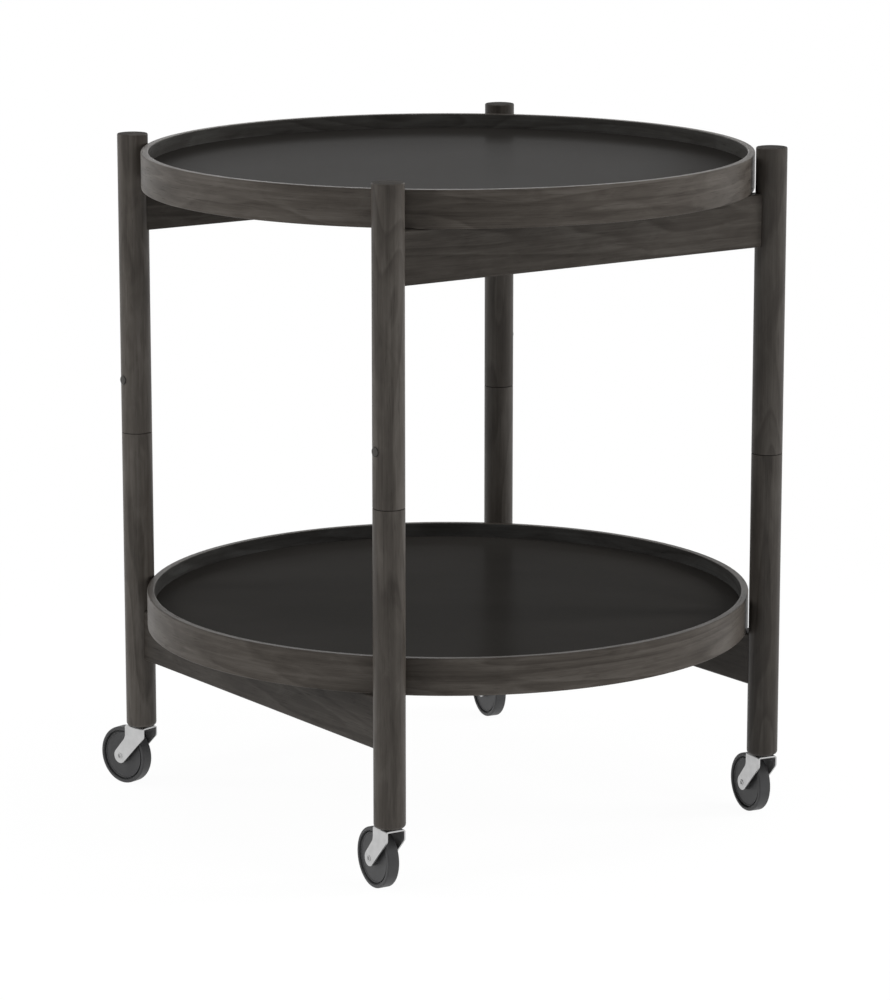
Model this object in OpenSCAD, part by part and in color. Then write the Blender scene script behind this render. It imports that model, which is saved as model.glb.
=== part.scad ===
// Folding tray table: two round lift-out trays on four pivoting legs with casters
// Millimetres, +Z up. Origin on the floor under the middle of the trays.
// The front rail runs along X at -Y. Front left leg stands at -X, -Y.

/* [Trays] */
// outside diameter of a tray
tray_d = 500; // [440:5:540]
// height of the tray's rim
rim_h = 30; // [26:1:36]
// thickness of the rim
rim_t = 6.2; // [5:0.1:9]
// thickness of the tray's base board
base_t = 6; // [5:0.5:8]
// depth of the groove that holds the base's tongue
groove_in = 3; // [2:0.5:4]
// rounding of the rim's edges
rim_round = 1; // [0.5:0.25:2]
// clear space between a tray and each leg
tray_clear = 1.7; // [1:0.1:4]

/* [Legs] */
// diameter of a leg
leg_d = 25.4; // [24:0.1:30]
// length of the upper half of a leg
upper_leg = 250.8; // [220:0.2:290]
// length of the lower half of a leg
lower_leg = 254.1; // [230:0.2:290]
// how far a leg stands above the upper tray's rim
leg_proud = 7.2; // [4:0.2:14]
// rounding of a leg's top edge
leg_round = 1; // [0.5:0.25:3]
// rounding of a leg's bottom edge
foot_round = 3; // [1:0.25:4]
// height of the seam between the two halves
seam_gap = 0.4; // [0.2:0.1:1]

/* [Rails] */
// height of a rail
rail_h = 43; // [34:1:50]
// thickness of a rail
rail_t = 15; // [13:0.5:18]
// how far a rail's outer face lies outside the line of the leg axes
rail_out = 3.5; // [2:0.5:5]
// height of a lower rail's bottom edge above the bottom of the leg
lower_rail_low = 59.2; // [45:0.2:75]
// rounding of a rail's long edges
rail_round = 2; // [1:0.25:3]
// thickness of a tenon
tenon_t = 8; // [6:0.5:9]
// shoulder above and below a tenon
tenon_shoulder = 6; // [4:0.5:9]
// how far a tenon reaches past the leg's surface
tenon_in = 15; // [11:0.5:17]

/* [Pivots] */
// diameter of the steel pivot pin
pin_d = 8; // [6:0.5:9]
// length of the pin in the upper half
pin_up = 60; // [52:1:80]
// length of the pin in the lower half
pin_down = 50; // [35:1:70]
// radial running clearance of a turning fit
run_fit = 0.05; // [0.02:0.01:0.09]
// diameter of the cross pin
cross_d = 3; // [2:0.5:3.5]
// height of the cross pin above the seam
cross_up = 45; // [30:1:48]
// diameter of the cross pin's button head
button_d = 7.6; // [5:0.2:9]
// how far the button head stands out of the leg
button_out = 1.1; // [0.8:0.1:1.6]

/* [Casters] */
// diameter of a wheel
wheel_d = 49; // [44:1:60]
// width of a wheel's tread
wheel_w = 10.5; // [9:0.5:14]
// how far the hub stands out of each side of the wheel
hub_out = 1.8; // [0.5:0.1:2.5]
// distance from the swivel axis to the wheel's axle
trail = 18; // [16:0.5:20]
// height of the fork's top above the axle
fork_up = 27.9; // [27.6:0.1:36]
// thickness of the fork's metal
fork_t = 1.2; // [1:0.1:2]
// clear space between wheel hub and fork on each side
hub_clear = 0.3; // [0.2:0.1:0.6]
// thickness of the washer between the fork and the leg
washer_t = 0.8; // [0.6:0.1:2]
// diameter of the caster's stem
stem_d = 8; // [7:0.5:9]
// outside diameter of the stem's socket
socket_d = 11; // [10.5:0.5:13]
// length of the stem's socket
socket_l = 38; // [32:1:46]
// diameter of the axle rivet
axle_d = 4; // [3:0.5:5]
// direction in which the front left caster trails, from +X
turn_front_left = 86; // [0:1:359]
// direction in which the front right caster trails
turn_front_right = 81; // [0:1:359]
// direction in which the rear right caster trails
turn_rear_right = 81; // [0:1:359]
// direction in which the rear left caster trails
turn_rear_left = 106; // [0:1:359]

/* [Hidden] */

leg_r = leg_d / 2;
pin_r = pin_d / 2;
cross_r = cross_d / 2;
button_r = button_d / 2;
// radial room round the button head in its seat, and the seat's depth on the round leg
button_room = 0.15;
button_seat = leg_r - sqrt(leg_r * leg_r - pow(button_r + button_room, 2)) + 0.2;
// wood left in front of the cross pin's blind end
cross_blind = 5;
// half the distance between two leg axes, so that each tray just clears the legs
half = (tray_d / 2 + tray_clear + leg_r) / sqrt(2);

// heights above the floor
leg_z = wheel_d / 2 + fork_up + washer_t;
seam_z = leg_z + lower_leg;
top_z = seam_z + upper_leg;
upper_rail_z = top_z - leg_proud - rim_h - rail_h;
lower_rail_z = leg_z + lower_rail_low;
upper_tray_z = upper_rail_z + rail_h;
lower_tray_z = lower_rail_z + rail_h;

// the tenon's middle lies 0.6 of the way from the line of the leg axes to the rail's middle
tenon_mid = (rail_t / 2 - rail_out) * 0.6;
// how far the tenon's block reaches back into the rail from the leg's surface
tenon_root = 6;
// room left at the end of a mortise
mortise_end = 0.5;
// space between a rail's hollowed end and the round leg
cope_gap = 0.15;
// rounding of the two edges at a leg's seam
seam_round = 0.4;

// step from a tray board's face to its tongue, and room round the board and behind the tongue
tongue_step = 1;
board_room = 0.1;
groove_end = 0.3;

// caster
wheel_r = wheel_d / 2;
axle_r = axle_d / 2;
stem_r = stem_d / 2;
socket_r = socket_d / 2;
neck_r = stem_r - 1;
hub_half = wheel_w / 2 + hub_out;
fork_half = hub_half + hub_clear + fork_t;
hub_wall = 4;
tread_round = 1.3;
// width of the outer ring, depth of the disc and of the groove below the ring's face
ring_in = 3;
disc_in = 1.5;
groove_deep = 2.4;
fork_z = wheel_r + fork_up;
// flange at the foot of the stem's socket
flange_r = socket_r + 2.2;
flange_t = 0.8;
washer_r = stem_r + 1.2;
head_r = neck_r + 2;
head_t = 1.4;
play = 0.2;
// how far the stem stops short of the socket's end, and its grip ring's middle below that end
stem_short = 2;
grip_down = 7;
grip_half = 1;
// the axle rivet's rounded head, and the mouth in its end
rivet_r = axle_r + 0.5;
rivet_out = 0.5;
mouth_r = 1.5;
mouth_deep = 0.8;
eye_r = axle_r + 4.4;
// heights below the fork's top where its sides' upright edges end, and the roundings there
back_drop = 6.8;
back_round = 4;
front_drop = 7.8;
front_round = 8;
// the fork's top runs from fork_back to fork_front along the trail
fork_back = -9.7;
fork_front = 11.6;

PLACES = [[-half, -half], [half, -half], [half, half], [-half, half]];

// an arc's points
function arc(cx, cy, r, a0, a1, n = 4) =
    [for (i = [0:n]) [cx + r * cos(a0 + (a1 - a0) * i / n), cy + r * sin(a0 + (a1 - a0) * i / n)]];

// the angle on the fork's eye where the straight edge that leaves a rounding at (x, y) meets it;
// r is the rounding's radius, negative for a hollow one, and side is 1 or -1
function touch(x, y, r, side) =
    atan2(y, x - trail) + side * acos((eye_r - r) / norm([x - trail, y]));

// the rails' frames: 0 front, 1 right, 2 rear, 3 left; the inner face looks to +Y
module rail_place(side, z) {
    rotate([0, 0, 90 * side]) translate([0, -half, z]) children();
}

// one tenon at each end of a rail; more makes the mortise longer
module tenons(more = 0) {
    for (s = [-1, 1])
        translate([s * (half - leg_r + (tenon_in + more - tenon_root) / 2), tenon_mid, rail_h / 2])
            cube([tenon_in + more + tenon_root, tenon_t, rail_h - 2 * tenon_shoulder],
                center = true);
}

module rail_body() {
    difference() {
        translate([0, rail_t / 2 - rail_out, rail_h / 2])
            rotate([90, 0, 90])
                linear_extrude(2 * half, center = true)
                    polygon(concat(
                        arc(rail_t / 2 - rail_round, rail_h / 2 - rail_round, rail_round, 0, 90),
                        arc(rail_round - rail_t / 2, rail_h / 2 - rail_round, rail_round, 90, 180),
                        arc(rail_round - rail_t / 2, rail_round - rail_h / 2, rail_round, 180, 270),
                        arc(rail_t / 2 - rail_round, rail_round - rail_h / 2, rail_round, 270, 360)));
        for (s = [-1, 1])
            translate([s * half, 0, -1])
                cylinder(r = leg_r + cope_gap, h = rail_h + 2, $fn = 96);
    }
    tenons();
}

// a turned leg half from z = 0 to h, with the edge rounded by low and high
module turned(h, low, high) {
    rotate_extrude($fn = 96)
        polygon(concat([[0, 0]], arc(leg_r - low, low, low, -90, 0),
            arc(leg_r - high, h - high, high, 0, 90), [[0, h]]));
}

module upper_leg(i, side) {
    turn = i == 0 || i == 3 ? 180 : 0;
    difference() {
        translate([PLACES[i][0], PLACES[i][1], seam_z + seam_gap / 2])
            turned(upper_leg - seam_gap / 2, seam_round, leg_round);
        translate([PLACES[i][0], PLACES[i][1], seam_z - 1])
            cylinder(r = pin_r, h = pin_up + 1, $fn = 48);
        translate([PLACES[i][0], PLACES[i][1], seam_z + cross_up])
            rotate([0, 90, turn]) translate([0, 0, cross_blind - leg_r])
                cylinder(r = cross_r, h = 2 * leg_r, $fn = 32);
        translate([PLACES[i][0], PLACES[i][1], seam_z + cross_up])
            rotate([0, 90, turn]) translate([0, 0, leg_r - button_seat])
                cylinder(r = button_r + button_room, h = 5, $fn = 48);
        rail_place(side, upper_rail_z) tenons(mortise_end);
    }
}

module lower_leg(i, side) {
    difference() {
        translate([PLACES[i][0], PLACES[i][1], leg_z])
            turned(lower_leg - seam_gap / 2, foot_round, seam_round);
        translate([PLACES[i][0], PLACES[i][1], seam_z - pin_down])
            cylinder(r = pin_r + run_fit, h = pin_down + 1, $fn = 48);
        translate([PLACES[i][0], PLACES[i][1], leg_z - 1])
            cylinder(r = socket_r, h = socket_l + 1, $fn = 48);
        translate([PLACES[i][0], PLACES[i][1], leg_z - 1])
            cylinder(r = flange_r, h = flange_t + 1, $fn = 48);
        rail_place(side, lower_rail_z) tenons(mortise_end);
    }
}

module pivot_pin(i) {
    turn = i == 0 || i == 3 ? 180 : 0;
    color([0.62, 0.62, 0.6])
    translate([PLACES[i][0], PLACES[i][1], seam_z])
        difference() {
            translate([0, 0, -pin_down])
                rotate_extrude($fn = 48)
                    polygon([[0, 0], [pin_r - 0.6, 0], [pin_r, 0.6], [pin_r, pin_down + pin_up - 0.6],
                        [pin_r - 0.6, pin_down + pin_up], [0, pin_down + pin_up]]);
            translate([0, 0, cross_up]) rotate([0, 90, turn])
                translate([0, 0, -pin_r - 1]) cylinder(r = cross_r, h = pin_d + 2, $fn = 32);
        }
}

// fixes a pivot pin in the upper half of its leg; its head shows on the side away from the rail
module cross_pin(i) {
    turn = i == 0 || i == 3 ? 180 : 0;
    b = button_r;
    low = cross_blind - leg_r;
    seat = leg_r - button_seat;
    top = leg_r + button_out;
    color([0.3, 0.3, 0.29])
    translate([PLACES[i][0], PLACES[i][1], seam_z + cross_up]) rotate([0, 90, turn])
        rotate_extrude($fn = 48)
            polygon([[0, low], [cross_r - 0.4, low], [cross_r, low + 0.4],
                [cross_r, seat], [b, seat], [b, top - 0.7], [b - 0.15, top - 0.45],
                [b - 0.5, top - 0.25], [b - 1.3, top - 0.1], [b - 2.2, top], [0, top]]);
}

module tray_rim(z) {
    r = tray_d / 2;
    q = rim_round;
    mid = rim_h / 2;
    tongue = base_t / 2 - tongue_step;
    deep = r - rim_t + groove_in + groove_end;
    color([0.3, 0.28, 0.26])
    translate([0, 0, z])
        rotate_extrude($fn = 180)
            polygon(concat(
                arc(r - q, q, q, -90, 0, 3), arc(r - q, rim_h - q, q, 0, 90, 3),
                arc(r - rim_t + q, rim_h - q, q, 90, 180, 3),
                [[r - rim_t, mid + tongue], [deep, mid + tongue],
                 [deep, mid - tongue], [r - rim_t, mid - tongue]],
                arc(r - rim_t + q, q, q, 180, 270, 3)));
}

// a board with a thinner tongue round its edge, the same on both faces
module tray_base(z) {
    r = tray_d / 2 - rim_t;
    h = base_t / 2;
    t = h - tongue_step;
    face_r = r - board_room;
    color([0.2, 0.2, 0.2])
    translate([0, 0, z + rim_h / 2])
        rotate_extrude($fn = 180)
            polygon([[0, -h], [face_r, -h], [face_r, -t], [r + groove_in, -t],
                [r + groove_in, t], [face_r, t], [face_r, h], [0, h]]);
}

module socket(i) {
    color([0.6, 0.6, 0.58])
    translate([PLACES[i][0], PLACES[i][1], leg_z])
        rotate_extrude($fn = 48)
            polygon([[stem_r, 0], [flange_r, 0], [flange_r, flange_t], [socket_r, flange_t],
                [socket_r, socket_l], [stem_r, socket_l]]);
}

// stem with a grip ring in the socket, a neck through the fork and a riveted head
module stem(i) {
    s = stem_r;
    low = leg_z - washer_t - fork_t;
    grip = leg_z + socket_l - grip_down;
    end = leg_z + socket_l - stem_short;
    color([0.7, 0.7, 0.68])
    translate([PLACES[i][0], PLACES[i][1], 0])
        rotate_extrude($fn = 48)
            polygon([[0, low - play - head_t], [head_r - 1, low - play - head_t],
                [head_r, low - play - head_t + 0.7], [head_r, low - play], [neck_r, low - play],
                [neck_r, fork_z + 0.1], [s, fork_z + 0.1], [s, leg_z + 4], [s - 0.4, leg_z + 4.4],
                [s - 0.4, grip - 2 * grip_half], [s, grip - grip_half],
                [s, grip + grip_half], [s - 0.4, grip + 2 * grip_half],
                [s - 1.4, end], [0, end]]);
}

module washer(i) {
    color([0.75, 0.75, 0.73])
    translate([PLACES[i][0], PLACES[i][1], fork_z])
        rotate_extrude($fn = 48)
            polygon([[stem_r + 0.1, 0], [washer_r - 0.2, 0], [washer_r, 0.2],
                [washer_r, washer_t - 0.2], [washer_r - 0.2, washer_t], [stem_r + 0.1, washer_t]]);
}

module caster_place(i, turn) {
    translate([PLACES[i][0], PLACES[i][1], 0]) rotate([0, 0, turn]) children();
}

// the fork: a bent strip, cut to the outline of its sides, with x along the trail
module fork(i, turn) {
    w = fork_half;
    t = fork_t;
    back = [fork_back + back_round, fork_up - back_drop];
    front = [fork_front + front_round, fork_up - front_drop];
    back_turn = touch(back[0], back[1], back_round, 1);
    front_turn = touch(front[0], front[1], -front_round, -1);
    color([0.78, 0.78, 0.76])
    caster_place(i, turn)
        translate([0, 0, wheel_r])
            difference() {
                intersection() {
                    translate([fork_back - 1, 0, 0]) rotate([90, 0, 90])
                        linear_extrude(trail + eye_r - fork_back + 2)
                            polygon(concat([[w, -eye_r - 1]], arc(w - 1.8, fork_up - 1.8, 1.8, 0, 90),
                                arc(1.8 - w, fork_up - 1.8, 1.8, 90, 180),
                                [[-w, -eye_r - 1], [t - w, -eye_r - 1],
                                 [t - w, fork_up - t - 0.4], [t - w + 0.4, fork_up - t],
                                 [w - t - 0.4, fork_up - t], [w - t, fork_up - t - 0.4],
                                 [w - t, -eye_r - 1]]));
                    rotate([90, 0, 0])
                        linear_extrude(4 * w, center = true)
                            polygon(concat(
                                arc(trail, 0, eye_r, back_turn - 360, front_turn, 20),
                                arc(front[0], front[1], front_round, front_turn + 180, 180, 6),
                                [[fork_front, fork_up + 1], [fork_back, fork_up + 1]],
                                arc(back[0], back[1], back_round, 180, back_turn, 6)));
                }
                cylinder(r = neck_r + run_fit, h = fork_up + 5, $fn = 48);
                translate([trail, 0, 0]) rotate([90, 0, 0])
                    cylinder(r = axle_r, h = 4 * w, center = true, $fn = 32);
            }
}

// a rivet through both sides of the fork, with a mouth in each end
module axle(i, turn) {
    w = fork_half;
    side = [[axle_r, w], [rivet_r, w], [rivet_r, w + rivet_out - 0.2],
        [rivet_r - 0.3, w + rivet_out], [mouth_r, w + rivet_out],
        [mouth_r - 0.2, w + rivet_out - mouth_deep], [0, w + rivet_out - mouth_deep]];
    color([0.66, 0.66, 0.64])
    caster_place(i, turn)
        translate([trail, 0, wheel_r]) rotate([90, 0, 0])
            rotate_extrude($fn = 32)
                polygon(concat(side, [for (k = [len(side) - 1:-1:0]) [side[k][0], -side[k][1]]]));
}

// a wheel: tread, a proud outer ring, a groove and a lip round a sunk disc, and a hub
module wheel(i, turn) {
    r = wheel_r;
    w = wheel_w / 2;
    b = axle_r + run_fit;
    side = concat(
        [[b, hub_half], [b + hub_wall, hub_half], [b + hub_wall + 0.4, w - disc_in],
         [r - ring_in - 2.6, w - disc_in], [r - ring_in - 2.1, w - disc_in + 0.5],
         [r - ring_in - 1.6, w - disc_in + 0.5], [r - ring_in - 1.2, w - groove_deep],
         [r - ring_in - 0.5, w - groove_deep], [r - ring_in, w - 0.4], [r - ring_in + 0.4, w]],
        arc(r - tread_round, w - tread_round, tread_round, 90, 0, 4));
    color([0.3, 0.3, 0.31])
    caster_place(i, turn)
        translate([trail, 0, r]) rotate([90, 0, 0])
            rotate_extrude($fn = 96)
                polygon(concat(side, [for (k = [len(side) - 1:-1:0]) [side[k][0], -side[k][1]]]));
}

OAK = [0.29, 0.27, 0.25];
module upper_leg_front_left() { color(OAK) upper_leg(0, 0); }
module upper_leg_front_right() { color(OAK) upper_leg(1, 0); }
module upper_leg_rear_right() { color(OAK) upper_leg(2, 2); }
module upper_leg_rear_left() { color(OAK) upper_leg(3, 2); }
module lower_leg_front_left() { color(OAK) lower_leg(0, 3); }
module lower_leg_front_right() { color(OAK) lower_leg(1, 1); }
module lower_leg_rear_right() { color(OAK) lower_leg(2, 1); }
module lower_leg_rear_left() { color(OAK) lower_leg(3, 3); }
module upper_rail_front() { color(OAK) rail_place(0, upper_rail_z) rail_body(); }
module upper_rail_rear() { color(OAK) rail_place(2, upper_rail_z) rail_body(); }
module lower_rail_left() { color(OAK) rail_place(3, lower_rail_z) rail_body(); }
module lower_rail_right() { color(OAK) rail_place(1, lower_rail_z) rail_body(); }
module pivot_pin_front_left() { pivot_pin(0); }
module pivot_pin_front_right() { pivot_pin(1); }
module pivot_pin_rear_right() { pivot_pin(2); }
module pivot_pin_rear_left() { pivot_pin(3); }
module cross_pins_front() { cross_pin(0); cross_pin(1); }
module cross_pins_rear() { cross_pin(2); cross_pin(3); }
module upper_tray_rim() { tray_rim(upper_tray_z); }
module upper_tray_base() { tray_base(upper_tray_z); }
module lower_tray_rim() { tray_rim(lower_tray_z); }
module lower_tray_base() { tray_base(lower_tray_z); }
module socket_front_left() { socket(0); }
module socket_front_right() { socket(1); }
module socket_rear_right() { socket(2); }
module socket_rear_left() { socket(3); }
module stem_front_left() { stem(0); }
module stem_front_right() { stem(1); }
module stem_rear_right() { stem(2); }
module stem_rear_left() { stem(3); }
module washer_front_left() { washer(0); }
module washer_front_right() { washer(1); }
module washer_rear_right() { washer(2); }
module washer_rear_left() { washer(3); }
module fork_front_left() { fork(0, turn_front_left); }
module fork_front_right() { fork(1, turn_front_right); }
module fork_rear_right() { fork(2, turn_rear_right); }
module fork_rear_left() { fork(3, turn_rear_left); }
module axle_front_left() { axle(0, turn_front_left); }
module axle_front_right() { axle(1, turn_front_right); }
module axle_rear_right() { axle(2, turn_rear_right); }
module axle_rear_left() { axle(3, turn_rear_left); }
module wheel_front_left() { wheel(0, turn_front_left); }
module wheel_front_right() { wheel(1, turn_front_right); }
module wheel_rear_right() { wheel(2, turn_rear_right); }
module wheel_rear_left() { wheel(3, turn_rear_left); }

upper_leg_front_left();
upper_leg_front_right();
upper_leg_rear_right();
upper_leg_rear_left();
lower_leg_front_left();
lower_leg_front_right();
lower_leg_rear_right();
lower_leg_rear_left();
upper_rail_front();
upper_rail_rear();
lower_rail_left();
lower_rail_right();
pivot_pin_front_left();
pivot_pin_front_right();
pivot_pin_rear_right();
pivot_pin_rear_left();
cross_pins_front();
cross_pins_rear();
upper_tray_rim();
upper_tray_base();
lower_tray_rim();
lower_tray_base();
socket_front_left();
socket_front_right();
socket_rear_right();
socket_rear_left();
stem_front_left();
stem_front_right();
stem_rear_right();
stem_rear_left();
washer_front_left();
washer_front_right();
washer_rear_right();
washer_rear_left();
fork_front_left();
fork_front_right();
fork_rear_right();
fork_rear_left();
axle_front_left();
axle_front_right();
axle_rear_right();
axle_rear_left();
wheel_front_left();
wheel_front_right();
wheel_rear_right();
wheel_rear_left();
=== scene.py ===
import math
from functools import partial

import bpy
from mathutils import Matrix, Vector

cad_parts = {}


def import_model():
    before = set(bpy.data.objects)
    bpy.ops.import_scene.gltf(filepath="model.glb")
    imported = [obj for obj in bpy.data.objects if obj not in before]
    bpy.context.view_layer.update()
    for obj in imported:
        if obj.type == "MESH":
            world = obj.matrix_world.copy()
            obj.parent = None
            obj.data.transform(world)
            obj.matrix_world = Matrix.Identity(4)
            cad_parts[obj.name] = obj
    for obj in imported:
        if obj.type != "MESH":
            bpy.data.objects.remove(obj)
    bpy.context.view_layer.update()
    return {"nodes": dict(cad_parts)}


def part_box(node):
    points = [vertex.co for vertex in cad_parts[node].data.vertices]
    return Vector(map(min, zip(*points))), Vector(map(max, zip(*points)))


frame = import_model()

MM = 0.001
WHITE = (1.0, 1.0, 1.0, 1.0)
CORNERS = ("front_left", "front_right", "rear_right", "rear_left")
nodes = frame["nodes"]


def centre(node):
    """The middle of a CAD node's box."""
    low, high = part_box(node)
    return (low + high) / 2


def times(values, factor):
    """Each of the values times the factor."""
    return tuple(value * factor for value in values)


# Materials


class Tree:
    """The nodes of a material or of the world, and a few short ways to add to them."""

    def __init__(self, owner):
        owner.use_nodes = True
        self.owner = owner
        self.nodes = owner.node_tree.nodes
        self.shader = self.nodes.get("Principled BSDF")

    def add(self, kind, **settings):
        node = self.nodes.new(kind)
        for key, value in settings.items():
            setattr(node, key, value)
        return node

    def link(self, source, target):
        self.owner.node_tree.links.new(source, target)

    def put(self, socket, value):
        if isinstance(value, bpy.types.NodeSocket):
            self.link(value, socket)
        else:
            socket.default_value = value

    def math(self, operation, a, b=0.0):
        node = self.add("ShaderNodeMath", operation=operation)
        for socket, value in zip(node.inputs, (a, b)):
            self.put(socket, value)
        return node.outputs[0]

    def add_shares(self, shares):
        """The sum of each value times its share."""
        total = 0.0
        for value, share in shares:
            total = self.math("ADD", total, self.math("MULTIPLY", value, share))
        return total

    def vector(self, operation, a, b):
        node = self.add("ShaderNodeVectorMath", operation=operation)
        self.put(node.inputs[0], a)
        self.put(node.inputs[1], b)
        return node.outputs[0]

    def noise(self, space, scale, detail=2.0, roughness=0.5, distortion=0.0):
        """Noise with scale waves per metre, one number for each axis of space."""
        node = self.add("ShaderNodeTexNoise")
        self.put(node.inputs["Vector"], self.vector("MULTIPLY", space, scale))
        node.inputs["Scale"].default_value = 1.0
        node.inputs["Detail"].default_value = detail
        node.inputs["Roughness"].default_value = roughness
        node.inputs["Distortion"].default_value = distortion
        return node.outputs["Fac"]

    def even_noise(self, space, scale, detail=2.0):
        return self.noise(space, (scale, scale, scale), detail)

    def ramp(self, value, stops):
        """A colour, or a grey given as one number, for each stop of the value."""
        node = self.add("ShaderNodeValToRGB")
        self.put(node.inputs["Fac"], value)
        elements = node.color_ramp.elements
        while len(elements) < len(stops):
            elements.new(0.5)
        for element, (position, colour) in zip(elements, stops):
            element.position = position
            if not hasattr(colour, "__len__"):
                colour = (colour, colour, colour)
            element.color = (*colour, 1.0)
        return node.outputs["Color"]

    def mix(self, factor, a, b, blend="MIX"):
        """Mixes two colours. The node's inputs 6 and 7 and its output 2 are those for colours."""
        node = self.add("ShaderNodeMix", data_type="RGBA", blend_type=blend)
        for index, value in ((0, factor), (6, a), (7, b)):
            if index and hasattr(value, "__len__") and len(value) == 3:
                value = (*value, 1.0)
            self.put(node.inputs[index], value)
        return node.outputs[2]

    def mix_shaders(self, factor, first, second):
        node = self.add("ShaderNodeMixShader")
        for value, socket in zip((factor, first, second), node.inputs):
            self.link(value, socket)
        return node.outputs[0]

    def bump(self, height, distance, strength):
        node = self.add("ShaderNodeBump")
        self.put(node.inputs["Height"], height)
        node.inputs["Distance"].default_value = distance
        node.inputs["Strength"].default_value = strength
        self.link(node.outputs["Normal"], self.shader.inputs["Normal"])

    def object_space(self):
        return self.add("ShaderNodeTexCoord").outputs["Object"]

    def object_normal(self):
        return self.add("ShaderNodeTexCoord").outputs["Normal"]

    def split(self, vector):
        node = self.add("ShaderNodeSeparateXYZ")
        self.link(vector, node.inputs[0])
        return node.outputs

    def join(self, parts):
        node = self.add("ShaderNodeCombineXYZ")
        for part, socket in zip(parts, node.inputs):
            self.link(part, socket)
        return node.outputs[0]

    def from_origin(self, origin):
        return self.vector("SUBTRACT", self.object_space(), tuple(origin))

    def seen(self):
        """1 for what the camera sees, directly, mirrored or through glass, and 0 for light on its way."""
        path = self.add("ShaderNodeLightPath")
        seen = path.outputs["Is Camera Ray"]
        for ray in ("Is Glossy Ray", "Is Transmission Ray"):
            seen = self.math("MAXIMUM", seen, path.outputs[ray])
        return seen


def new_material(name):
    return Tree(bpy.data.materials.new(name))


# Grain space has x along the grain and y and z across it, in metres


def grain_straight(tree, origin, along):
    """Grain space of a straight piece. along is the axis of the grain: 0, 1 or 2."""
    place = tree.split(tree.from_origin(origin))
    return tree.join([place[(along + turn) % 3] for turn in range(3)])


def grain_round(tree, origin, radius):
    """Grain space of a bent rim: x runs round the ring, y up, z through the wood.

    The two ends of the bent strip meet behind the front left leg.
    """
    x, y, z = tree.split(tree.from_origin(origin))
    angle = tree.math("ARCTAN2", tree.math("SUBTRACT", y, x), tree.math("ADD", x, y))
    squares = tree.math("ADD", tree.math("MULTIPLY", x, x), tree.math("MULTIPLY", y, y))
    return tree.join((tree.math("MULTIPLY", angle, radius), z, tree.math("SQRT", squares)))


# The ends of a leg take more stain: shade by how far the surface faces up or down
END_GRAIN_SHADE = ((0.80, 1.0), (0.97, 0.55))
# Where a rim's surface takes painted shade as its inside: 0 faces the middle of the tray, 1 faces away from
# it
INSIDE_FULL_PAINTED_SHADE = 0.10
INSIDE_NO_PAINTED_SHADE = 0.30


def end_grain(tree):
    """The darker ends of an upright leg."""
    upright = tree.split(tree.object_normal())[2]
    return tree.ramp(tree.math("ABSOLUTE", upright), END_GRAIN_SHADE)


def inner_side_painted_shade(tree, origin, inside_painted_shade):
    """Painted shade on the inside of a rim: its colour times the inside factor, darker and more neutral,
    nearly like the board.
    """
    outward = tree.add("ShaderNodeVectorMath", operation="DOT_PRODUCT")
    place = tree.from_origin(origin)
    tree.link(tree.vector("NORMALIZE", place, (0.0, 0.0, 0.0)), outward.inputs[0])
    tree.link(tree.object_normal(), outward.inputs[1])
    facing = tree.math("ADD", tree.math("MULTIPLY", outward.outputs["Value"], 0.5), 0.5)
    return tree.ramp(facing, ((INSIDE_FULL_PAINTED_SHADE, inside_painted_shade), (INSIDE_NO_PAINTED_SHADE, 1.0)))


# Dark stained oak, from its dark to its light wood
OAK_DARK = (0.021, 0.0178, 0.0150)
OAK_MIDDLE = (0.039, 0.0341, 0.0295)
OAK_LIGHT = (0.064, 0.0577, 0.0510)
OAK_STOPS = (0.30, 0.48, 0.66)
# Each pattern: waves per metre along and across the grain, detail, roughness, distortion.
# The figure makes the rings, the rag frays their edges, and the rest lies over them.
OAK_PATTERNS = {
    "figure": (3.4, 24.0, 1.0, 0.4, 0.5),
    "rag": (20.0, 150.0, 2.0, 0.5, 0.0),
    "broad": (2.2, 34.0, 2.0, 0.5, 0.0),
    "fibres": (10.0, 330.0, 3.0, 0.55, 0.3),
    "fine": (28.0, 1300.0, 2.0, 0.6, 0.0),
    "pores": (60.0, 1300.0, 1.0, 0.5, 0.0),
    "cloud": (24.0, 80.0, 3.0, 0.6, 0.9),
}
# What each pattern adds to the tone, from dark to light, and what the late wood of a ring takes
OAK_SHARES = (("broad", 0.36), ("fibres", 0.27), ("cloud", 0.30), ("fine", 0.12))
LATE_SHARE = 0.12
# How many rings the figure has between its least and its greatest value, and how late wood comes in each
RINGS = 8.0
RAG_SHARE = 0.05
RING_PROFILE = ((0.0, 0.0), (0.14, 1.0), (0.45, 0.45), (1.0, 0.0))
PORE_RANGE = ((0.62, 0.0), (0.76, 1.0))
PORE_COLOUR = (0.008, 0.007, 0.006)
PORE_DARKNESS = 0.3
OAK_ROUGHNESS = 0.34
FIBRE_ROUGHNESS = 0.14
PORE_ROUGHNESS = 0.2
OAK_GLOSS = 0.08
FIBRE_HEIGHT = 0.35
OAK_RELIEF = 0.08 * MM
OAK_RELIEF_STRENGTH = 0.6
# How far one seed is from the next in the wood, so that no two pieces have the same figure
SEED_STEP = (1.7, 0.31, 0.23)


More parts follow.
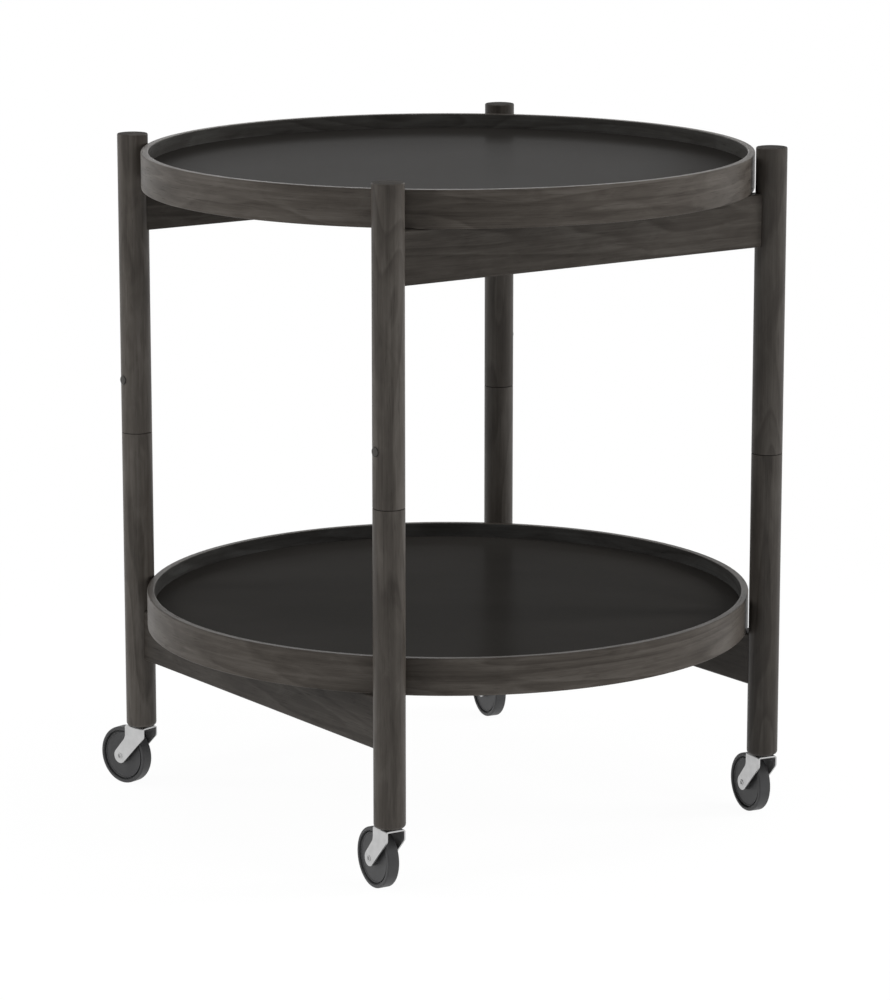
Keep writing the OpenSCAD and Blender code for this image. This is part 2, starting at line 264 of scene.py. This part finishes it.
def oak(name, space_of, seed, tone_of_board, gloss=OAK_GLOSS, stain_and_painted_shade=None):
    """Dark stained oak: soft rings with ragged edges, fibres and a few pores, drawn out along the grain.

    The optional multiplier darkens the colour where the stain went in more at a leg's ends, and paints shade
    on the inside of a rim; the wood is rougher in both places.
    """
    tree = new_material(name)
    space = tree.vector("ADD", space_of(tree), times(SEED_STEP, seed))
    pattern = {}
    for key, (along, across, *settings) in OAK_PATTERNS.items():
        pattern[key] = tree.noise(space, (along, across, across), *settings)
    figure = tree.math("ADD", pattern["figure"], tree.math("MULTIPLY", pattern["rag"], RAG_SHARE))
    ring = tree.math("FRACT", tree.math("MULTIPLY", figure, RINGS))
    late = tree.ramp(ring, RING_PROFILE)
    tone = tree.add_shares([(pattern[key], share) for key, share in OAK_SHARES])
    tone = tree.math("SUBTRACT", tone, tree.math("MULTIPLY", late, LATE_SHARE))
    stains = [times(stain, tone_of_board) for stain in (OAK_DARK, OAK_MIDDLE, OAK_LIGHT)]
    colour = tree.ramp(tone, tuple(zip(OAK_STOPS, stains)))
    pores = tree.ramp(pattern["pores"], PORE_RANGE)
    colour = tree.mix(tree.math("MULTIPLY", pores, PORE_DARKNESS), colour, PORE_COLOUR)
    rough = tree.math("ADD", OAK_ROUGHNESS, tree.math("MULTIPLY", pattern["fibres"], FIBRE_ROUGHNESS))
    # Real stain on the leg ends, painted shade on the inside of a rim
    if stain_and_painted_shade:
        stain_and_painted_shade_factor = stain_and_painted_shade(tree)
        colour = tree.mix(1.0, colour, stain_and_painted_shade_factor, "MULTIPLY")
        rough = tree.math("ADD", rough, tree.math("SUBTRACT", 1.0, stain_and_painted_shade_factor))
    rough = tree.math("ADD", rough, tree.math("MULTIPLY", pores, PORE_ROUGHNESS))
    tree.link(colour, tree.shader.inputs["Base Color"])
    tree.link(rough, tree.shader.inputs["Roughness"])
    tree.shader.inputs["Specular IOR Level"].default_value = gloss
    height = tree.math("SUBTRACT", tree.math("MULTIPLY", pattern["fibres"], FIBRE_HEIGHT), pores)
    tree.bump(height, OAK_RELIEF, OAK_RELIEF_STRENGTH)
    return tree.owner


# The clouds, fine grit and scratches of the three plainer materials are given in waves per metre
CLOUD_DETAIL = 3.0
MOTTLE_STOPS = (0.35, 0.65)
GRIT_RELIEF_STRENGTH = 0.5


def mottled(tree, cloud, grit, cloud_share, low, high):
    """A colour between low and high by a soft cloud and a fine grit."""
    tone = tree.add_shares(((cloud, cloud_share), (grit, 1.0 - cloud_share)))
    return tree.ramp(tone, tuple(zip(MOTTLE_STOPS, (low, high))))


BOARD_LOW = (0.0254, 0.0237, 0.0217)
BOARD_HIGH = (0.0308, 0.0288, 0.0266)
BOARD_CLOUD = 9.0
BOARD_GRIT = 1300.0
BOARD_CLOUD_SHARE = 0.6
BOARD_ROUGHNESS = 0.22
BOARD_CLOUD_ROUGHNESS = 0.06
BOARD_GLOSS = 0.0005
BOARD_RELIEF = 0.02 * MM
BOARD_SEED_STEP = (1.0, 0.7, 0.0)


def laminate(name, seed, tone_of_board):
    """Dark board face: near neutral, faintly mottled, smooth.

    Its gloss is kept low, because a flat face seen at a low angle mirrors the white surroundings.
    """
    tree = new_material(name)
    space = tree.vector("ADD", tree.object_space(), times(BOARD_SEED_STEP, seed))
    cloud = tree.even_noise(space, BOARD_CLOUD, CLOUD_DETAIL)
    grit = tree.even_noise(space, BOARD_GRIT)
    low = times(BOARD_LOW, tone_of_board)
    high = times(BOARD_HIGH, tone_of_board)
    rough = tree.math("ADD", BOARD_ROUGHNESS, tree.math("MULTIPLY", cloud, BOARD_CLOUD_ROUGHNESS))
    tree.link(mottled(tree, cloud, grit, BOARD_CLOUD_SHARE, low, high), tree.shader.inputs["Base Color"])
    tree.link(rough, tree.shader.inputs["Roughness"])
    tree.shader.inputs["Specular IOR Level"].default_value = BOARD_GLOSS
    tree.bump(grit, BOARD_RELIEF, GRIT_RELIEF_STRENGTH)
    return tree.owner


METAL_CLOUD = 160.0
METAL_CLOUD_STOPS = (0.3, 0.7)
METAL_CLOUD_DARKNESS = 0.88
METAL_SCRATCHES = (2400.0, 2400.0, 260.0)
METAL_SCRATCH_ROUGHNESS = 0.12
METAL_RELIEF = 0.01 * MM
METAL_RELIEF_STRENGTH = 0.4


def plate_metal(name, base, roughness):
    """Plated or blackened steel with a faint cloudiness and fine scratches from pressing."""
    tree = new_material(name)
    space = tree.object_space()
    cloud = tree.even_noise(space, METAL_CLOUD, CLOUD_DETAIL)
    scratch = tree.noise(space, METAL_SCRATCHES)
    colours = (times(base, METAL_CLOUD_DARKNESS), base)
    rough = tree.math("ADD", roughness, tree.math("MULTIPLY", scratch, METAL_SCRATCH_ROUGHNESS))
    tree.link(tree.ramp(cloud, tuple(zip(METAL_CLOUD_STOPS, colours))), tree.shader.inputs["Base Color"])
    tree.link(rough, tree.shader.inputs["Roughness"])
    tree.shader.inputs["Metallic"].default_value = 1.0
    tree.bump(scratch, METAL_RELIEF, METAL_RELIEF_STRENGTH)
    return tree.owner


PLASTIC_LOW = (0.033, 0.033, 0.034)
PLASTIC_HIGH = (0.048, 0.048, 0.049)
PLASTIC_CLOUD = 90.0
PLASTIC_GRIT = 1800.0
PLASTIC_CLOUD_SHARE = 0.5
PLASTIC_ROUGHNESS = 0.42
PLASTIC_GRIT_ROUGHNESS = 0.16
PLASTIC_GLOSS = 0.3
PLASTIC_RELIEF = 0.03 * MM


def plastic(name):
    """Dark grey wheel plastic, slightly mottled and a little rough."""
    tree = new_material(name)
    space = tree.object_space()
    grit = tree.even_noise(space, PLASTIC_GRIT)
    cloud = tree.even_noise(space, PLASTIC_CLOUD, CLOUD_DETAIL)
    colour = mottled(tree, cloud, grit, PLASTIC_CLOUD_SHARE, PLASTIC_LOW, PLASTIC_HIGH)
    rough = tree.math("ADD", PLASTIC_ROUGHNESS, tree.math("MULTIPLY", grit, PLASTIC_GRIT_ROUGHNESS))
    tree.link(colour, tree.shader.inputs["Base Color"])
    tree.link(rough, tree.shader.inputs["Roughness"])
    tree.shader.inputs["Specular IOR Level"].default_value = PLASTIC_GLOSS
    tree.bump(grit, PLASTIC_RELIEF, GRIT_RELIEF_STRENGTH)
    return tree.owner


def dress(node, material):
    """Gives a CAD node its material."""
    mesh = nodes[node].data
    mesh.materials.clear()
    mesh.materials.append(material)


# How pale each piece of wood is against the others, and where in the wood it is cut.
# The legs are in the order of CORNERS. A rail has its grain along axis 0 or 1, and each tray is upper, lower.
LEG_TONES = (1.32, 0.94, 0.92, 1.45)
LEG_GLOSS = 0.16
LEG_SEED = 3.1
LEG_SEED_STEP = 1.0
LEG_HALF_STEP = 0.37
RAILS = (("upper_rail_front", 0, 1.0), ("upper_rail_rear", 0, 0.9),
         ("lower_rail_left", 1, 0.81), ("lower_rail_right", 1, 0.9))
RAIL_SEED = 11.3
RAIL_SEED_STEP = 1.9
TRAYS = ("upper", "lower")
RIM_TONES = (1.5, 1.44)
# Painted shade on the inside of each rim, upper and lower: a colour factor that darkens and cools the wood
# there
RIM_INSIDE_PAINTED_SHADE = ((0.77, 0.84, 0.90), (0.64, 0.71, 0.78))
RIM_SEED = 21.7
RIM_SEED_STEP = 2.3
BOARD_TONES = (0.95, 1.45)
BOARD_SEEDS = (0.0, 0.4)


def dress_legs():
    for index, corner in enumerate(CORNERS):
        for half, name in enumerate(("upper_leg_", "lower_leg_")):
            node = name + corner
            seed = LEG_SEED + LEG_SEED_STEP * index + LEG_HALF_STEP * half
            upright = partial(grain_straight, origin=centre(node), along=2)
            dress(node, oak(node, upright, seed, LEG_TONES[index], LEG_GLOSS, end_grain))


def dress_rails():
    for index, (node, along, tone) in enumerate(RAILS):
        lengthwise = partial(grain_straight, origin=centre(node), along=along)
        dress(node, oak(node, lengthwise, RAIL_SEED + RAIL_SEED_STEP * index, tone))


def dress_trays():
    for index, tray in enumerate(TRAYS):
        rim = f"{tray}_tray_rim"
        base = f"{tray}_tray_base"
        low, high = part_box(rim)
        middle = centre(rim)
        around = partial(grain_round, origin=middle, radius=(high.x - low.x) / 2)
        # Painted shade darkens the inside of the rim
        inside_painted_shade = partial(inner_side_painted_shade, origin=middle, inside_painted_shade=RIM_INSIDE_PAINTED_SHADE[index])
        dress(rim, oak(rim, around, RIM_SEED + RIM_SEED_STEP * index, RIM_TONES[index], stain_and_painted_shade=inside_painted_shade))
        dress(base, laminate(base, BOARD_SEEDS[index], BOARD_TONES[index]))


# The metals
ZINC_COLOUR = (0.56, 0.56, 0.56)
ZINC_ROUGHNESS = 0.38
RIVET_COLOUR = (0.50, 0.50, 0.50)
STEEL_COLOUR = (0.40, 0.40, 0.39)
STEEL_ROUGHNESS = 0.40
BLACK_COLOUR = (0.085, 0.081, 0.076)
BLACK_ROUGHNESS = 0.45


def dress_metal_and_wheels():
    zinc = plate_metal("zinc_plate", ZINC_COLOUR, ZINC_ROUGHNESS)
    rivet = plate_metal("rivet_steel", RIVET_COLOUR, STEEL_ROUGHNESS)
    steel = plate_metal("pin_steel", STEEL_COLOUR, STEEL_ROUGHNESS)
    wheel = plastic("wheel_plastic")
    looks = {"fork": zinc, "washer": zinc, "axle": rivet, "stem": rivet, "socket": rivet,
             "wheel": wheel, "pivot_pin": steel}
    for corner in CORNERS:
        for piece, material in looks.items():
            dress(f"{piece}_{corner}", material)
    black = plate_metal("black_steel", BLACK_COLOUR, BLACK_ROUGHNESS)
    for frame_side in ("front", "rear"):
        dress(f"cross_pins_{frame_side}", black)


# Studio

FLOOR_REACH = 20.0
FLOOR_COLOUR = (0.9, 0.9, 0.9, 1.0)
FLOOR_ROUGHNESS = 0.9
# The light that the floor and the surroundings give by themselves
FLOOR_BOUNCE = 0.45
WORLD_LIGHT = 0.08
# How much of the floor is seen as plain white, by metres from the middle: the rest takes shadow
FLOOR_WHITE = ((0.4, 0.93), (1.0, 1.0))


def floor():
    """A white floor that shows the shadow near the object."""
    mesh = bpy.data.meshes.new("floor")
    corners = [(x * FLOOR_REACH, y * FLOOR_REACH, 0) for x, y in ((-1, -1), (1, -1), (1, 1), (-1, 1))]
    mesh.from_pydata(corners, [], [(0, 1, 2, 3)])
    obj = bpy.data.objects.new("floor", mesh)
    bpy.context.scene.collection.objects.link(obj)
    tree = new_material("floor")
    tree.shader.inputs["Roughness"].default_value = FLOOR_ROUGHNESS
    tree.shader.inputs["Specular IOR Level"].default_value = 0.0
    tree.shader.inputs["Base Color"].default_value = FLOOR_COLOUR
    tree.shader.inputs["Emission Color"].default_value = WHITE
    tree.shader.inputs["Emission Strength"].default_value = FLOOR_BOUNCE
    white = tree.add("ShaderNodeEmission")
    distance = tree.add("ShaderNodeVectorMath", operation="LENGTH")
    tree.link(tree.object_space(), distance.inputs[0])
    part = tree.math("MULTIPLY", tree.seen(), tree.ramp(distance.outputs["Value"], FLOOR_WHITE))
    surface = tree.mix_shaders(part, tree.shader.outputs[0], white.outputs[0])
    tree.link(surface, tree.nodes["Material Output"].inputs["Surface"])
    mesh.materials.append(tree.owner)


def world():
    """White for what is seen, and a softer light for the rest."""
    bpy.context.scene.world = bpy.data.worlds.new("studio")
    tree = Tree(bpy.context.scene.world)
    soft = tree.nodes["Background"]
    white = tree.add("ShaderNodeBackground")
    for background, strength in ((soft, WORLD_LIGHT), (white, 1.0)):
        background.inputs["Color"].default_value = WHITE
        background.inputs["Strength"].default_value = strength
    surface = tree.mix_shaders(tree.seen(), soft.outputs[0], white.outputs[0])
    tree.link(surface, tree.nodes["World Output"].inputs["Surface"])


# The camera looks at the front left leg from above
CAMERA_AZIMUTH = math.radians(54.887)
CAMERA_DOWN = math.radians(11.985)
CAMERA_DISTANCE = 3444.3 * MM
CAMERA_LENS = 149.42
CAMERA_SENSOR = 36.0
TARGET_HEIGHT = 258.11 * MM
TARGET_SIDE = -2.38 * MM

# Level directions as the camera sees them
ahead = Vector((math.cos(CAMERA_AZIMUTH), math.sin(CAMERA_AZIMUTH), 0.0))
right = Vector((ahead.y, -ahead.x, 0.0))
up = Vector((0.0, 0.0, 1.0))


def aim(obj, target):
    obj.rotation_euler = (target - obj.location).to_track_quat("-Z", "Y").to_euler()


def camera():
    data = bpy.data.cameras.new("camera")
    data.sensor_width = CAMERA_SENSOR
    data.lens = CAMERA_LENS
    obj = bpy.data.objects.new("camera", data)
    target = right * TARGET_SIDE + up * TARGET_HEIGHT
    look = ahead * math.cos(CAMERA_DOWN) - up * math.sin(CAMERA_DOWN)
    obj.location = target - look * CAMERA_DISTANCE
    bpy.context.scene.collection.objects.link(obj)
    aim(obj, target)
    bpy.context.scene.camera = obj


# Each lamp: name, metres to the right, ahead and up, width, height, watts
LAMPS = (
    ("left_back_softbox", -2.2, 1.2, 0.9, 0.7, 1.8, 6),
    ("left_softbox", -2.4, 0.0, 0.9, 0.7, 1.8, 21),
    ("left_front_softbox", -2.0, -1.6, 0.9, 0.7, 1.8, 19),
    ("right_back_softbox", 2.2, 1.2, 0.9, 0.7, 1.8, 8),
    ("right_softbox", 2.4, 0.0, 0.9, 0.7, 1.8, 38),
    ("right_front_softbox", 2.0, -1.6, 0.9, 0.7, 1.8, 17),
    ("back_softbox", -0.03, 3.0, 1.2, 0.8, 0.5, 2.5),
    ("top_softbox", 0.0, 0.0, 3.0, 2.0, 2.0, 24),
)
# Flat faces seen at a low angle would mirror the side lamps as a glare, so only these are mirrored
MIRRORED_LAMPS = ("back_softbox", "top_softbox")
LAMP_TARGET_HEIGHT = 0.3


def lamps():
    for name, side, depth, height, wide, tall, watts in LAMPS:
        data = bpy.data.lights.new(name, "AREA")
        data.shape = "RECTANGLE"
        data.size = wide
        data.size_y = tall
        data.energy = watts
        obj = bpy.data.objects.new(name, data)
        obj.location = right * side + ahead * depth + up * height
        obj.visible_glossy = name in MIRRORED_LAMPS
        bpy.context.scene.collection.objects.link(obj)
        aim(obj, up * LAMP_TARGET_HEIGHT)


dress_legs()
dress_rails()
dress_trays()
dress_metal_and_wheels()
floor()
world()
lamps()
camera()
bpy.context.scene.view_settings.view_transform = "Standard"
